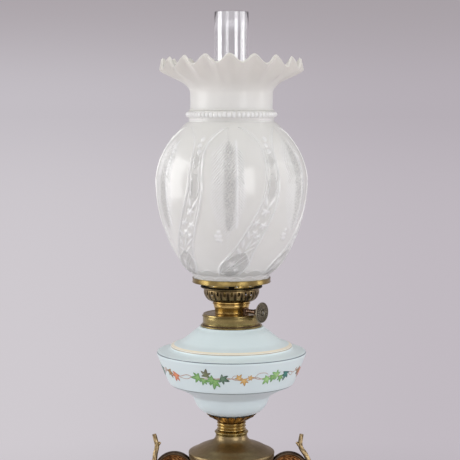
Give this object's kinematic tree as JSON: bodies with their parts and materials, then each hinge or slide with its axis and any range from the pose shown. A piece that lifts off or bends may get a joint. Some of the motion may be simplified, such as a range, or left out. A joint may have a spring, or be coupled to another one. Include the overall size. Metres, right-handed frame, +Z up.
{
  "type": "table kerosene lamp",
  "caption": "Table oil lamp: stepped brass base with roundels and twig handles, painted opaline font, side-knob burner, clear chimney and frosted shade with crimped rim.",
  "frame": {"origin": "centre of the base at table level, on the lamp's axis", "axes": "+Z up along the lamp's axis, -Y the front as in the picture, +X to its right, where the wick knob is"},
  "size_m": [0.176, 0.1626, 0.6717],
  "materials": {
    "cast_brass": "cast and lacquered",
    "iron": "raw",
    "steel": "turned",
    "spun_brass": "spun, aged",
    "gilt_brass": "gilt",
    "grey_brass": "aged",
    "copper_brown": "copper-brown patina",
    "lacquered_crown": "red-gold lacquer",
    "plaster": "set plaster",
    "opaline": "opaque opaline glass",
    "collar_brass": "rolled, aged",
    "leather": "oiled",
    "tube_brass": "drawn",
    "bowl_bronze": "dark antique",
    "spindle_bronze": "dark antique",
    "knob_pewter": "dark, rayed",
    "cotton": "woven cotton",
    "clear_glass": "clear",
    "frosted_glass": "frosted and pressed"
  },
  "bodies": {
    "base": {"feet": "cast_brass", "foot_screws": "steel", "plinth_lower": "cast_brass", "plinth_upper": "cast_brass", "ballast": "iron", "bell_foot": "cast_brass", "stem_knop": "cast_brass", "urn_bowl": "spun_brass", "urn_band": "spun_brass", "urn_shoulder": "spun_brass", "tie_rod": "steel", "tie_nuts": "steel", "branch_left": "gilt_brass", "branch_right": "gilt_brass", "roundel_rim_left": "grey_brass", "roundel_rim_right": "grey_brass", "roundel_face_left": "copper_brown", "roundel_face_right": "copper_brown", "roundel_screws": "steel", "branch_screws": "steel", "branch_rivets": "gilt_brass", "neck_flange": "spun_brass", "ringed_neck": "spun_brass", "crown_cup": "lacquered_crown", "crown_plaster": "plaster", "font_glass": "opaline", "font_plaster": "plaster", "font_collar": "collar_brass"},
    "seal": {"collar_washer": "leather"},
    "burner": {"burner_cap": "collar_brass", "burner_neck": "gilt_brass", "wick_tube_outer": "tube_brass", "wick_tube_inner": "tube_brass", "air_port": "tube_brass", "pierced_bowl": "bowl_bronze", "chimney_seat": "collar_brass", "chimney_prongs": "tube_brass", "spindle_housing": "spindle_bronze"},
    "wick_raiser": {"raiser_spindle": "steel", "raiser_pinion": "tube_brass", "raiser_knob": "knob_pewter", "knob_rivet": "knob_pewter"},
    "wick_set": {"wick": "cotton", "wick_carrier": "tube_brass"},
    "shade_holder": {"shade_ring": "collar_brass", "shade_ring_arms": "collar_brass"},
    "chimney_body": {"chimney": "clear_glass"},
    "shade_body": {"shade": "frosted_glass"}
  },
  "joints": [
    {"name": "burner_rise", "type": "slide", "parent": "base", "child": "seal", "axis": [0, 0, 1], "range_m": [0, 0.0072]},
    {"name": "burner_screw", "type": "hinge", "parent": "seal", "child": "burner", "pos_m": [0, 0, 0.344], "axis": [0, 0, 1], "range_deg": [0, 1095]},
    {"name": "wick_knob", "type": "hinge", "parent": "burner", "child": "wick_raiser", "pos_m": [0.03274, -0.02467, 0.3594], "axis": [0.7986, -0.6018, 0], "range_deg": [0, 360]},
    {"name": "wick_rise", "type": "slide", "parent": "burner", "child": "wick_set", "axis": [0, 0, 1], "range_m": [0, 0.015]},
    {"name": "chimney_lift", "type": "slide", "parent": "burner", "child": "chimney_body", "axis": [0, 0, 1], "range_m": [0, 0.25]},
    {"name": "shade_ring_lift", "type": "slide", "parent": "burner", "child": "shade_holder", "axis": [0, 0, 1], "range_m": [0, 0.29]},
    {"name": "shade_lift", "type": "slide", "parent": "shade_holder", "child": "shade_body", "axis": [0, 0, 1], "range_m": [0, 0.285]}
  ],
  "couplings": [
    {"joint": "burner_screw", "follows": "burner_rise", "rad_per_m": 2618},
    {"joint": "wick_knob", "follows": "wick_rise", "rad_per_m": 400}
  ]
}
